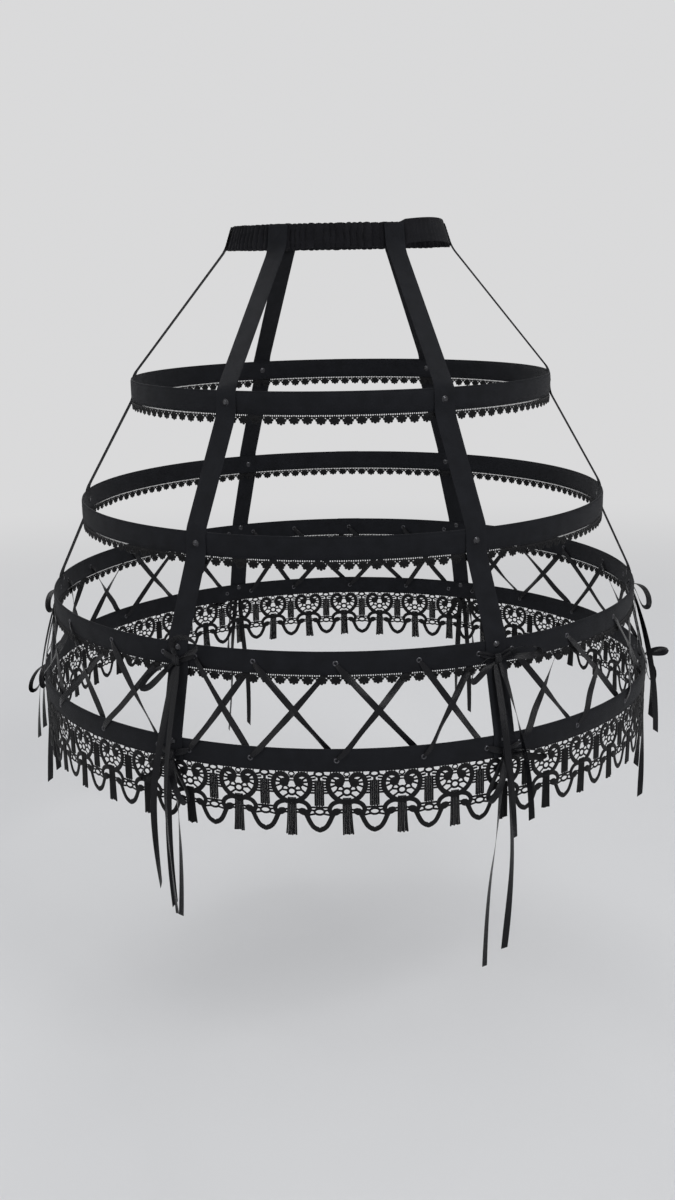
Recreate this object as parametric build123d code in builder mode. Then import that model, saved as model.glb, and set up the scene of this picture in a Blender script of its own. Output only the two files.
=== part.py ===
"""Crinoline cage: a gathered waistband, six tape straps, four stiffened hoops, a deep lace hem,
criss-cross ribbon lacing between the two lowest hoops, and ribbon bows with hanging tails.

Millimetres. The origin is the centre of the waistband, +Z is up and the front faces -Y.
Left and right are as seen from the front. A turn is an angle about Z, measured from the
centre front towards the right.
"""
import os
from math import cos, degrees, hypot, pi, radians, sin, tan

from build123d import *

# Waistband: half sizes of its outer face, over the crests of the gathers
WAIST_HALF_WIDTH = 136.0
WAIST_HALF_DEPTH = 97.0
WAISTBAND_HEIGHT = 27.0
WAISTBAND_THICKNESS = 3.0
GATHER_DEPTH = 3.0
GATHER_COUNT = 44
SMOOTH_FROM_TURN = 36.0
SMOOTH_TO_TURN = 84.0

# Tape of the straps and of the hoop covers
TAPE_WIDTH = 25.0
TAPE_THICKNESS = 1.0
SEAT_GAP = 0.1

# Hoops: inner radius of the cover tape, and drop of its middle below the waist
FIRST_HOOP_RADIUS = 256.0
SECOND_HOOP_RADIUS = 323.0
THIRD_HOOP_RADIUS = 364.0
FOURTH_HOOP_RADIUS = 382.0
FIRST_HOOP_DROP = 174.0
SECOND_HOOP_DROP = 315.5
THIRD_HOOP_DROP = 426.0
FOURTH_HOOP_DROP = 524.0

# Stiff strip behind each cover tape, with a plate that joins its two ends at the back
STRIP_WIDTH = 20.0
STRIP_THICKNESS = 1.2
STRIP_SIDES = 36
STRIP_END_GAP = 2.0
JOINER_LENGTH = 36.0
JOINER_WIDTH = 14.0
JOINER_THICKNESS = 0.8

# Straps: turn of the front and back pairs on the hoops, and their reach aside at the waist
STRAP_TURN = 27.0
SIDE_TURN = 90.0
HALF_TURN = 180.0
STRAP_WAIST_ASIDE = 68.0

# Rivets: caps on the straps, raised on the two lower hoops to clear the bows
RIVET_RADIUS = 3.8
RIVET_HEIGHT = 1.6
RIVET_SIDES = 8
RIVET_TAPER = 35.0
RIVET_RISE = 7.8

# Ribbon of the lacing and the bows
RIBBON_WIDTH = 7.0
RIBBON_THICKNESS = 0.5
RIBBON_LIFT = 0.9
LACING_TUCK = 6.5
EYELET_FROM_STRAP = 20.0
inner_eyelet_share = 0.5

# Bows: knot, loops and the run of tails
KNOT_WIDTH = 9.0
KNOT_HEIGHT = 10.0
KNOT_DEPTH = 5.0
KNOT_DROP = 6.0
LOOP_LENGTH = 50.0
LOOP_SPREAD = 62.0
loop_shares = ((0.0, 0.0), (0.52, 0.14), (1.0, -0.36), (0.46, -0.16))
TAIL_GAP = 0.4
tail_bend_share = 0.45

# Deep lace below the fourth hoop: one motif to each flat side, points as shares of pitch and drop
LACE_PITCH = 57.0
LACE_DROP = 70.0
LACE_THICKNESS = 1.0
LACE_SEAM = 2.0
hem_shares = ((-0.5, 0.93), (-0.13, 0.63), (-0.10, 1.0), (0.10, 1.0), (0.13, 0.63))
heart_shares = ((-0.29, 0.13), (0.0, 0.21), (0.29, 0.13), (0.0, 0.42))
garland_shares = ((0.0, 0.58), (0.20, 0.68), (0.0, 0.86), (-0.20, 0.68))

UP = Vector(0, 0, 1)

# Route of each hanging tail from its knot: (aside, out, down), on the third and on the fourth hoop
upper_tail_routes = {
    "front_left": (
        ((-2.5, -1.0, 0.0), (-6.0, 35.0, 88.0), (-17.0, 35.0, 168.0), (-12.0, 31.0, 240.0)),
        ((2.5, 1.0, 0.0), (5.0, 36.0, 90.0), (3.0, 37.0, 180.0), (9.0, 33.0, 268.0)),
    ),
    "front_right": (
        ((-2.5, -1.0, 0.0), (-5.0, 35.0, 90.0), (2.0, 36.0, 182.0)),
        ((2.5, 1.0, 0.0), (7.0, 36.0, 86.0), (22.0, 36.0, 166.0)),
    ),
    "side_left": (
        ((-2.5, -1.0, 0.0), (-6.0, 35.0, 92.0), (-14.0, 36.0, 190.0)),
        ((2.5, 1.0, 0.0), (6.0, 36.0, 94.0), (9.0, 38.0, 196.0)),
    ),
    "side_right": (
        ((-2.5, -1.0, 0.0), (-6.0, 35.0, 94.0), (-8.0, 37.0, 194.0)),
        ((2.5, 1.0, 0.0), (6.0, 36.0, 90.0), (16.0, 35.0, 182.0)),
    ),
    "back_left": (
        ((-2.5, -1.0, 0.0), (-6.0, 35.0, 93.0), (-13.0, 36.0, 190.0)),
        ((2.5, 1.0, 0.0), (5.0, 36.0, 90.0), (12.0, 37.0, 184.0)),
    ),
    "back_right": (
        ((-2.5, -1.0, 0.0), (-5.0, 35.0, 90.0), (-12.0, 37.0, 186.0)),
        ((2.5, 1.0, 0.0), (6.0, 36.0, 94.0), (14.0, 35.0, 194.0)),
    ),
}
lower_tail_routes = {
    "front_left": (
        ((-2.5, -1.0, 0.0), (-9.0, 4.0, 82.0), (-3.0, 2.0, 168.0)),
        ((2.5, 1.0, 0.0), (12.0, 2.0, 84.0), (8.0, 7.0, 176.0)),
    ),
    "front_right": (
        ((-2.5, -1.0, 0.0), (-10.0, 4.0, 76.0), (-22.0, 2.0, 156.0), (-26.0, 5.0, 234.0)),
        ((2.5, 1.0, 0.0), (8.0, 3.0, 72.0), (6.0, 6.0, 148.0), (0.0, 3.0, 220.0)),
    ),
    "side_left": (
        ((-2.5, -1.0, 0.0), (-10.0, 4.0, 74.0), (-8.0, 2.0, 150.0)),
        ((2.5, 1.0, 0.0), (12.0, 3.0, 76.0), (28.0, 5.0, 152.0)),
    ),
    "side_right": (
        ((-2.5, -1.0, 0.0), (-13.0, 3.0, 88.0), (-13.0, 1.0, 184.0)),
        ((2.5, 1.0, 0.0), (10.0, 4.0, 78.0), (24.0, 2.0, 156.0)),
    ),
    "back_left": (
        ((-2.5, -1.0, 0.0), (-8.0, 4.0, 70.0), (-15.0, 2.0, 142.0), (-13.0, 5.0, 212.0)),
        ((2.5, 1.0, 0.0), (11.0, 5.0, 70.0), (12.0, 6.0, 145.0), (22.0, 3.0, 216.0)),
    ),
    "back_right": (
        ((-2.5, -1.0, 0.0), (-12.0, 3.0, 90.0), (-14.0, 0.0, 188.0)),
        ((2.5, 1.0, 0.0), (12.0, 5.0, 86.0), (11.0, 4.0, 180.0)),
    ),
}
strap_turns = {
    "front_left": -STRAP_TURN,
    "front_right": STRAP_TURN,
    "side_right": SIDE_TURN,
    "back_right": HALF_TURN - STRAP_TURN,
    "back_left": STRAP_TURN - HALF_TURN,
    "side_left": -SIDE_TURN,
}
hoops = (
    (FIRST_HOOP_RADIUS, FIRST_HOOP_DROP),
    (SECOND_HOOP_RADIUS, SECOND_HOOP_DROP),
    (THIRD_HOOP_RADIUS, THIRD_HOOP_DROP),
    (FOURTH_HOOP_RADIUS, FOURTH_HOOP_DROP),
)

os.makedirs("parts", exist_ok=True)


def outward(turn):
    """Level direction that points out of the skirt at a turn."""
    return Vector(sin(radians(turn)), -cos(radians(turn)), 0)


def sideways(turn):
    """Level direction along the hoop at a turn, towards growing turns."""
    return Vector(cos(radians(turn)), sin(radians(turn)), 0)


def spot(turn, reach, aside, height):
    """Point at a reach out from the axis and a distance aside, seen at a turn."""
    return outward(turn) * reach + sideways(turn) * aside + UP * height


def level_plane(turn, reach, aside, height):
    """Level plane at a spot, with its x along the hoop."""
    return Plane(spot(turn, reach, aside, height), x_dir=sideways(turn), z_dir=UP)


def upright_plane(turn, reach, height):
    """Plane that faces out of the skirt at a turn, with its x along the hoop and its y up."""
    return Plane(spot(turn, reach, 0, height), x_dir=sideways(turn), z_dir=outward(turn))


# Waistband: crests and hollows all round, but for a smooth stretch at the right hip
def waist_point(step, inset):
    """Corner of the waistband, a step being half a gather, set in from the outer face."""
    angle = pi * step / GATHER_COUNT
    wide = WAIST_HALF_WIDTH - inset
    deep = WAIST_HALF_DEPTH - inset
    return (wide * sin(angle), -deep * cos(angle))


def gather_inset(step):
    """Depth of a corner: hollows lie in, crests and the smooth stretch lie out."""
    turn = degrees(pi * step / GATHER_COUNT)
    smooth = SMOOTH_FROM_TURN < turn < SMOOTH_TO_TURN
    return GATHER_DEPTH * (step % 2) * (not smooth)


outer_corners = [waist_point(step, gather_inset(step)) for step in range(2 * GATHER_COUNT)]
inner_inset = GATHER_DEPTH + WAISTBAND_THICKNESS
inner_corners = [waist_point(2 * step, inner_inset) for step in range(GATHER_COUNT)]

with BuildPart() as waistband:
    with BuildSketch(Plane.XY.offset(-WAISTBAND_HEIGHT / 2)):
        with BuildLine():
            Polyline(*outer_corners, close=True)
        make_face()
        with BuildLine():
            Polyline(*inner_corners, close=True)
        make_face(mode=Mode.SUBTRACT)
    extrude(amount=WAISTBAND_HEIGHT)
waistband.part.label = "waistband"
export_step(waistband.part, "parts/waistband.step")

# Hoops: a cover tape outside, a stiff strip behind it, and a plate over the strip's ends
half_side_turn = HALF_TURN / STRIP_SIDES

for number, (radius, drop) in enumerate(hoops, start=1):
    with BuildPart() as cover:
        with BuildSketch(Plane.XZ):
            with Locations((radius + TAPE_THICKNESS / 2, -drop)):
                Rectangle(TAPE_THICKNESS, TAPE_WIDTH)
        revolve(axis=Axis.Z)
    cover.part.label = f"hoop_tape_{number}"
    export_step(cover.part, f"parts/hoop_tape_{number}.step")

    strip_radius = radius - SEAT_GAP
    strip_inner_radius = strip_radius - STRIP_THICKNESS / cos(radians(half_side_turn))
    with BuildPart() as strip:
        with BuildSketch(Plane.XY.offset(-drop - STRIP_WIDTH / 2)):
            RegularPolygon(strip_radius, STRIP_SIDES, rotation=half_side_turn)
            RegularPolygon(strip_inner_radius, STRIP_SIDES, rotation=half_side_turn, mode=Mode.SUBTRACT)
        extrude(amount=STRIP_WIDTH)
        with BuildSketch(upright_plane(HALF_TURN, 0, -drop)):
            Rectangle(STRIP_END_GAP, TAPE_WIDTH)
        extrude(amount=radius, mode=Mode.SUBTRACT)
    strip.part.label = f"hoop_strip_{number}"
    export_step(strip.part, f"parts/hoop_strip_{number}.step")


with BuildPart() as joiners:
    for radius, drop in hoops:
        strip_inner_flat = (radius - SEAT_GAP) * cos(radians(half_side_turn)) - STRIP_THICKNESS
        with BuildSketch(upright_plane(HALF_TURN, strip_inner_flat - SEAT_GAP, -drop)):
            Rectangle(JOINER_LENGTH, JOINER_WIDTH)
        extrude(amount=-JOINER_THICKNESS)
joiners.part.label = "hoop_joiners"
export_step(joiners.part, "parts/hoop_joiners.step")


# Straps: flat tapes from the waistband down to the fourth hoop, bent over each hoop
def strap_stops(turn):
    """Level cuts of a strap from the waist down: (aside, reach, height)."""
    across = WAIST_HALF_WIDTH * sin(radians(turn))
    ahead = WAIST_HALF_DEPTH * cos(radians(turn))
    waist_reach = hypot(across, ahead) + SEAT_GAP + TAPE_THICKNESS / 2
    aside_goal = STRAP_WAIST_ASIDE * sin(radians(turn)) / abs(sin(radians(turn)))
    slant = cos(radians(turn))
    waist_aside = 0
    if turn not in (SIDE_TURN, -SIDE_TURN):
        waist_aside = (aside_goal - waist_reach * sin(radians(turn))) / slant
    stops = [
        (waist_aside, waist_reach, WAISTBAND_HEIGHT / 2),
        (waist_aside, waist_reach, -WAISTBAND_HEIGHT / 2),
    ]
    for radius, drop in hoops:
        reach = radius + TAPE_THICKNESS + SEAT_GAP + TAPE_THICKNESS / 2
        stops.append((0, reach, TAPE_WIDTH / 2 - drop))
        stops.append((0, reach, -TAPE_WIDTH / 2 - drop))
    return stops


for name, turn in strap_turns.items():
    with BuildPart() as strap:
        for aside, reach, height in strap_stops(turn):
            with BuildSketch(level_plane(turn, reach, aside, height)):
                Rectangle(TAPE_WIDTH, TAPE_THICKNESS)
        loft(ruled=True)
    strap.part.label = f"strap_{name}"
    export_step(strap.part, f"parts/strap_{name}.step")

rivet_heights = (0, 0, RIVET_RISE, RIVET_RISE)
with BuildPart() as rivets:
    for (radius, drop), rise in zip(hoops, rivet_heights):
        rivet_reach = radius + 2 * TAPE_THICKNESS + 2 * SEAT_GAP
        for turn in strap_turns.values():
            with BuildSketch(upright_plane(turn, rivet_reach, rise - drop)):
                RegularPolygon(RIVET_RADIUS, RIVET_SIDES)
            extrude(amount=RIVET_HEIGHT, taper=RIVET_TAPER)
rivets.part.label = "rivets"
export_step(rivets.part, "parts/rivets.step")

# Deep lace: a wall of flat sides, one motif to a side, with a heart and a garland opened in each
lace_radius = FOURTH_HOOP_RADIUS - SEAT_GAP
motif_count = round(2 * pi * lace_radius / LACE_PITCH)
motif_turn = 2 * HALF_TURN / motif_count
half_motif = radians(motif_turn / 2)
pitch = 2 * lace_radius * sin(half_motif)
flat_radius = lace_radius * cos(half_motif)
lace_top = -FOURTH_HOOP_DROP - TAPE_WIDTH / 2


def motif_points(shares):
    """Points of one motif on its upright plane, from shares of the pitch and the drop."""
    return [(across * pitch, lace_top - down * LACE_DROP) for across, down in shares]


hem_end_share = (-hem_shares[0][0], hem_shares[0][1])
hem_points = motif_points((*hem_shares, hem_end_share))
with BuildPart() as lace:
    with BuildSketch(Plane.XY.offset(lace_top - LACE_DROP)):
        RegularPolygon(lace_radius, motif_count, rotation=motif_turn / 2 - SIDE_TURN)
        RegularPolygon(
            lace_radius - LACE_THICKNESS / cos(half_motif),
            motif_count,
            rotation=motif_turn / 2 - SIDE_TURN,
            mode=Mode.SUBTRACT,
        )
    extrude(amount=LACE_DROP + LACE_SEAM)
    for motif in range(motif_count):
        turn = motif * motif_turn
        with BuildSketch(upright_plane(turn, flat_radius - TAPE_WIDTH, 0)):
            with BuildLine():
                Polyline(
                    *hem_points,
                    (hem_points[-1][0], lace_top - 2 * LACE_DROP),
                    (hem_points[0][0], lace_top - 2 * LACE_DROP),
                    close=True,
                )
            make_face()
            with BuildLine():
                Polyline(*motif_points(heart_shares), close=True)
            make_face()
        with BuildSketch(upright_plane(turn + motif_turn / 2, flat_radius - TAPE_WIDTH, 0)):
            with BuildLine():
                Polyline(*motif_points(garland_shares), close=True)
            make_face()
    extrude(amount=2 * TAPE_WIDTH, mode=Mode.SUBTRACT)
lace.part.label = "hem_lace"
export_step(lace.part, "parts/hem_lace.step")

# Lacing: in each panel two ribbons cross from hoop to hoop, each run from outside one hoop
# to inside the other
panel_names = {
    "front": ("front_left", "front_right"),
    "front_right": ("front_right", "side_right"),
    "back_right": ("side_right", "back_right"),
    "back": ("back_right", "back_left"),
    "back_left": ("back_left", "side_left"),
    "front_left": ("side_left", "front_left"),
}
outside_lift = TAPE_THICKNESS + RIBBON_LIFT + RIBBON_THICKNESS / 2


def eyelet_turns(panel, radius):
    """Turns of the five eyelets of a panel on a hoop, from one strap to the next."""
    start = strap_turns[panel_names[panel][0]]
    end = strap_turns[panel_names[panel][1]]
    if end < start:
        end += 2 * HALF_TURN
    middle = (start + end) / 2
    step = (end - start) / 2 * inner_eyelet_share
    strap_step = degrees(EYELET_FROM_STRAP / radius)
    return (start + strap_step, middle - step, middle, middle + step, end - strap_step)


def run_cuts(panel, place, downward):
    """Level cuts of one run of ribbon, (turn, reach, height), from an eyelet to the next one across."""
    upper_turns = eyelet_turns(panel, THIRD_HOOP_RADIUS)
    lower_turns = eyelet_turns(panel, FOURTH_HOOP_RADIUS)
    upper_outside = THIRD_HOOP_RADIUS + outside_lift
    lower_outside = FOURTH_HOOP_RADIUS + outside_lift
    if downward:
        return [
            (upper_turns[place], upper_outside, -THIRD_HOOP_DROP),
            (lower_turns[place + 1], FOURTH_HOOP_RADIUS - LACING_TUCK, -FOURTH_HOOP_DROP),
        ]
    rise_share = TAPE_WIDTH / 2 / (FOURTH_HOOP_DROP - THIRD_HOOP_DROP)
    edge_turn = lower_turns[place] + rise_share * (upper_turns[place + 1] - lower_turns[place])
    return [
        (lower_turns[place], lower_outside, -FOURTH_HOOP_DROP),
        (edge_turn, lower_outside, TAPE_WIDTH / 2 - FOURTH_HOOP_DROP),
        (upper_turns[place + 1], THIRD_HOOP_RADIUS - LACING_TUCK, -THIRD_HOOP_DROP),
    ]


def level_width(cuts):
    """Width of a level cut through a slanting ribbon."""
    along = (cuts[0][1] + cuts[-1][1]) / 2 * radians(cuts[-1][0] - cuts[0][0])
    rise = cuts[-1][2] - cuts[0][2]
    return RIBBON_WIDTH * hypot(along, rise) / abs(rise)


for panel in panel_names:
    for strand, starts_downward in (("a", True), ("b", False)):
        with BuildPart() as lacing:
            for place in range(len(eyelet_turns(panel, THIRD_HOOP_RADIUS)) - 1):
                cuts = run_cuts(panel, place, starts_downward == (place % 2 == 0))
                run_turn = (cuts[0][0] + cuts[-1][0]) / 2
                for turn, reach, height in cuts:
                    cut_plane = Plane(spot(turn, reach, 0, height), x_dir=sideways(run_turn), z_dir=UP)
                    with BuildSketch(cut_plane):
                        Rectangle(level_width(cuts), RIBBON_THICKNESS)
                loft(ruled=True)
        lacing.part.label = f"lacing_{panel}_{strand}"
        export_step(lacing.part, f"parts/lacing_{panel}_{strand}.step")

# Bows: a ribbon across the strap, a knot in front of it and two drooping loops
bow_lift = 2 * TAPE_THICKNESS + 2 * SEAT_GAP + RIBBON_THICKNESS
bow_hoops = {
    "upper": (THIRD_HOOP_RADIUS, THIRD_HOOP_DROP, upper_tail_routes),
    "lower": (FOURTH_HOOP_RADIUS, FOURTH_HOOP_DROP, lower_tail_routes),
}
knot_lift = bow_lift + SEAT_GAP + KNOT_DEPTH / 2
loop_points = [(out * LOOP_LENGTH, up * LOOP_LENGTH) for out, up in loop_shares]


def loop_plane(turn, knot_front, height, side):
    """Upright plane of a loop: it leaves the knot's front corner, its x out and aside, its y up."""
    corner = spot(turn, knot_front, side * (KNOT_WIDTH / 2 + SEAT_GAP), height)
    across = sideways(turn) * side * sin(radians(LOOP_SPREAD))
    along = outward(turn) * cos(radians(LOOP_SPREAD)) + across
    return Plane(corner, x_dir=along, z_dir=along.cross(UP))


def bend_radius(before, corner, after):
    """Largest arc that the two runs at a corner of a route leave room for."""
    turn = radians((corner - before).get_angle(after - corner))
    shorter = min((corner - before).length, (after - corner).length)
    return tail_bend_share * shorter / tan(turn / 2)


for name, turn in strap_turns.items():
    with BuildPart() as bows:
        for radius, drop, routes in bow_hoops.values():
            with BuildSketch(upright_plane(turn, radius + bow_lift, -drop)):
                Rectangle(2 * (EYELET_FROM_STRAP - RIBBON_WIDTH), RIBBON_WIDTH)
            extrude(amount=-RIBBON_THICKNESS)
            knot_height = -drop - KNOT_DROP
            with BuildSketch(upright_plane(turn, radius + bow_lift + SEAT_GAP, knot_height)):
                Rectangle(KNOT_WIDTH, KNOT_HEIGHT)
            extrude(amount=KNOT_DEPTH)
            for side in (-1, 1):
                with BuildSketch(loop_plane(turn, radius + knot_lift + KNOT_DEPTH / 2, knot_height, side)):
                    with BuildLine():
                        Polyline(*loop_points, close=True)
                    make_face()
                    offset(amount=-RIBBON_THICKNESS, kind=Kind.INTERSECTION, mode=Mode.SUBTRACT)
                extrude(amount=RIBBON_WIDTH / 2, both=True)
    bows.part.label = f"bows_{name}"
    export_step(bows.part, f"parts/bows_{name}.step")

for level, (radius, drop, routes) in bow_hoops.items():
    for name, turn in strap_turns.items():
        for number, route in enumerate(routes[name], start=1):
            top = -drop - KNOT_DROP - KNOT_HEIGHT / 2 - TAIL_GAP
            points = [spot(turn, radius + knot_lift + out, aside, top - down) for aside, out, down in route]
            radii = [bend_radius(*points[at:at + 3]) for at in range(len(points) - 2)]
            with BuildPart() as tail:
                with BuildLine() as path:
                    FilletPolyline(*points, radius=radii)
                with BuildSketch(Plane(points[0], x_dir=sideways(turn), z_dir=path.line % 0)):
                    Rectangle(RIBBON_WIDTH, RIBBON_THICKNESS)
                sweep()
            tail.part.label = f"tail_{level}_{name}_{number}"
            export_step(tail.part, f"parts/tail_{level}_{name}_{number}.step")
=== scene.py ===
"""Looks of a crinoline cage: black tape hoops and straps, lace, rivets, lacing and bows. Metres."""

import math
import random

import bmesh
import bpy
import numpy as np
from mathutils import Euler, Matrix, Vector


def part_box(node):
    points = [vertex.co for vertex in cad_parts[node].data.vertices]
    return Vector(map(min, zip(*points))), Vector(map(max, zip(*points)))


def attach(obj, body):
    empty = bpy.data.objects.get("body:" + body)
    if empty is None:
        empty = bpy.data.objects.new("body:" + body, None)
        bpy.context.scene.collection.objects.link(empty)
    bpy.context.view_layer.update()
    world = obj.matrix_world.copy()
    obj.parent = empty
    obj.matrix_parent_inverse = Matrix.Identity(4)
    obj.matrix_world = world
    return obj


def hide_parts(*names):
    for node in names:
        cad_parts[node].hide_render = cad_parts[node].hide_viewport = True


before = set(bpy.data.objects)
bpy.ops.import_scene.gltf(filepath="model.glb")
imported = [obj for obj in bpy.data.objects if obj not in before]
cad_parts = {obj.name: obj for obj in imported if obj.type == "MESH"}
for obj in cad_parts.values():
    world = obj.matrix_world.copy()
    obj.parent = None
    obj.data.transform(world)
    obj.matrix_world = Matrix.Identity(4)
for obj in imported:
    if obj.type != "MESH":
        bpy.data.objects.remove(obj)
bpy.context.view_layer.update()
chance = random.Random(42)

# Driving sizes, from the model's own boxes where it has them.
MM = 0.001
TAPE_WIDTH = 25 * MM
TAPE_THICKNESS = 1 * MM
CASING_THICKNESS = 2.6 * MM
RIBBON_WIDTH = 7 * MM
RIBBON_THICKNESS = 0.4 * MM
STRAP_TURNS = {
    "front_left": -27,
    "front_right": 27,
    "side_right": 90,
    "back_right": 153,
    "back_left": 207,
    "side_left": 270,
}
STRAP_WAIST_ASIDE = 68 * MM
PANELS = {
    "front": (-27, 27),
    "front_right": (27, 90),
    "back_right": (90, 153),
    "back": (153, 207),
    "back_left": (207, 270),
    "front_left": (270, 333),
}
EYELET_FROM_STRAP = 20 * MM
INNER_EYELET_SHARE = 0.5
HEM_TURN = math.radians(1.5)
HOOPS = (1, 2, 3, 4)
LACED_HOOPS = (3, 4)
PICOT_PITCH = 14.4 * MM
MOTIFS = 42
UP = np.array([0.0, 0.0, 1.0])


def hoop_radius(hoop):
    """Inner radius of a hoop's cover tape."""
    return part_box(f"hoop_tape_{hoop}")[1][0] - TAPE_THICKNESS


def hoop_height(hoop):
    """Height of the middle of a hoop."""
    low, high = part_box(f"hoop_tape_{hoop}")
    return (low[2] + high[2]) / 2


RADIUS = {hoop: hoop_radius(hoop) for hoop in HOOPS}
HEIGHT = {hoop: hoop_height(hoop) for hoop in HOOPS}
WAIST_LOW, WAIST_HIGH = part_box("waistband")
WAIST_HALF_WIDTH = WAIST_HIGH[0]
WAIST_HALF_DEPTH = WAIST_HIGH[1]
BAND_HEIGHT = WAIST_HIGH[2] - WAIST_LOW[2]


# Directions and lines.
def outward(turn):
    """Unit vectors away from the axis, at turns in radians from centre front towards the right."""
    turn = np.asarray(turn, dtype=float)
    return np.stack([np.sin(turn), -np.cos(turn), np.zeros_like(turn)], axis=-1)


def sideways(turn):
    """Unit vectors along a hoop, towards growing turns."""
    turn = np.asarray(turn, dtype=float)
    return np.stack([np.cos(turn), np.sin(turn), np.zeros_like(turn)], axis=-1)


def spot(turn, reach, aside, height):
    """One point beside the line of a strap."""
    return outward(turn) * reach + sideways(turn) * aside + UP * height


def unit(vectors):
    """The same vectors, each of length one."""
    return vectors / np.linalg.norm(vectors, axis=-1, keepdims=True)


def even(line, count):
    """Evenly spaced points on a dense line."""
    steps = np.linalg.norm(np.diff(line, axis=0), axis=1)
    along = np.concatenate([[0.0], np.cumsum(steps)])
    wanted = np.linspace(0.0, along[-1], count)
    return np.stack([np.interp(wanted, along, line[:, axis]) for axis in range(line.shape[1])], axis=1)


def through(points, count):
    """Evenly spaced points on a smooth line through the given points."""
    given = np.asarray(points, dtype=float)
    given = np.vstack([2 * given[0] - given[1], given, 2 * given[-1] - given[-2]])
    t = np.linspace(0.0, 1.0, 24, endpoint=False)[:, None]
    spans = []
    for before, start, end, after in zip(given, given[1:], given[2:], given[3:]):
        bend = (end - before) * t
        curve = (2 * before - 5 * start + 4 * end - after) * t**2
        skew = (3 * start - before - 3 * end + after) * t**3
        spans.append(start + (bend + curve + skew) / 2)
    return even(np.vstack([*spans, given[-2:-1]]), count)


# Meshes.
class Shape:
    """Points, faces and flat coordinates in metres, gathered for one piece."""

    def __init__(self):
        self.points = []
        self.faces = []
        self.flat = []
        self.count = 0

    def grid(self, points, along, across, wrap_along=False, wrap_across=False):
        """Four-sided faces between rows of points."""
        rows, columns = points.shape[:2]
        index = self.count + np.arange(rows * columns).reshape(rows, columns)
        if wrap_along:
            index = np.vstack([index, index[:1]])
        if wrap_across:
            index = np.hstack([index, index[:, :1]])
        flat = np.stack(np.meshgrid(along, across, indexing="ij"), axis=-1)
        near, far = slice(0, -1), slice(1, None)
        corners = [(near, near), (far, near), (far, far), (near, far)]
        self.points.append(points.reshape(-1, 3))
        self.faces.extend(np.stack([index[c] for c in corners], axis=-1).reshape(-1, 4).tolist())
        self.flat.append(np.stack([flat[c] for c in corners], axis=2).reshape(-1, 2))
        self.count += rows * columns
        return index

    def cap(self, ring):
        """One face over a ring of points."""
        self.faces.append([int(i) for i in ring])
        self.flat.append(np.zeros((len(ring), 2)))

    def add(self, other, points):
        """Another shape's faces, on moved points."""
        self.points.append(points)
        self.faces.extend([[i + self.count for i in face] for face in other.faces])
        self.flat.extend(other.flat)
        self.count += len(points)

    def all_points(self):
        """Every point so far, as rows."""
        return np.concatenate(self.points)


def sweep(shape, section, centres, sides, normals, wrap=False, widths=None, slant=0.0):
    """Carries a closed section (aside, lift) along a line. One row of directions may serve all points."""
    widths = np.ones(len(centres)) if widths is None else widths
    aside = widths[:, None] * section[:, 0]
    points = centres[:, None] + aside[:, :, None] * sides[:, None]
    points = points + section[:, 1][None, :, None] * normals[:, None]
    if slant:
        points[-1] += slant * aside[-1][:, None] * unit(centres[-1] - centres[-2])
    steps = np.linalg.norm(np.roll(centres, -1, axis=0) - centres, axis=1)
    along = np.concatenate([[0.0], np.cumsum(steps)])
    across = section[:, 0] - section[:, 0].min()
    index = shape.grid(points, along[: len(centres) + wrap], np.append(across, across[0]), wrap, True)
    if not wrap:
        shape.cap(index[0, :-1])
        shape.cap(index[-1, :-1])


def two_faced(aside, half, hollow=0.0):
    """A closed section (aside, lift) of two faces about a middle line."""
    over = np.stack([aside, hollow + half], axis=1)
    under = np.stack([aside, hollow - half], axis=1)
    return np.vstack([over, under[::-1]])


def tape_section(width, thickness, columns=8, edge=0.45, curl=0.0):
    """Section of a flat tape, with softened edges and a slight hollow."""
    aside = np.linspace(-width / 2, width / 2, columns + 1)
    half = np.full(columns + 1, thickness / 2)
    half[[0, -1]] *= edge
    return two_faced(aside, half, curl * (1 - (2 * aside / width) ** 2))


def oval_section(width, thickness, sides=8):
    """Section of a round or flattened thread."""
    turns = np.arange(sides) * 2 * math.pi / sides
    return np.stack([np.cos(turns) * width / 2, np.sin(turns) * thickness / 2], axis=1)


def directions(centres, hints, rolls=None):
    """Side and face directions along a ribbon whose face looks towards the hints."""
    tangents = unit(np.gradient(centres, axis=0))
    sides = unit(np.cross(tangents, hints))
    normals = np.cross(sides, tangents)
    if rolls is None:
        return sides, normals
    turn, lean = np.cos(rolls)[:, None], np.sin(rolls)[:, None]
    return sides * turn + normals * lean, normals * turn - sides * lean


def lathe(shape, profile, centre, axis, side, sides=20):
    """Turns a profile (radius, lift) about an axis; its ends are closed."""
    other = np.cross(axis, side)
    turns = np.arange(sides) * 2 * math.pi / sides
    spokes = np.cos(turns)[:, None] * side + np.sin(turns)[:, None] * other
    points = [centre + radius * spokes + lift * axis for radius, lift in profile]
    along = np.cumsum([0.0] + [MM] * (len(profile) - 1))
    index = shape.grid(np.stack(points), along, np.arange(sides + 1) * MM, wrap_across=True)
    shape.cap(index[0, :-1])
    shape.cap(index[-1, :-1])


def shown(name, data):
    """A new object in the scene."""
    made = bpy.data.objects.new(name, data)
    bpy.context.scene.collection.objects.link(made)
    return made


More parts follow.
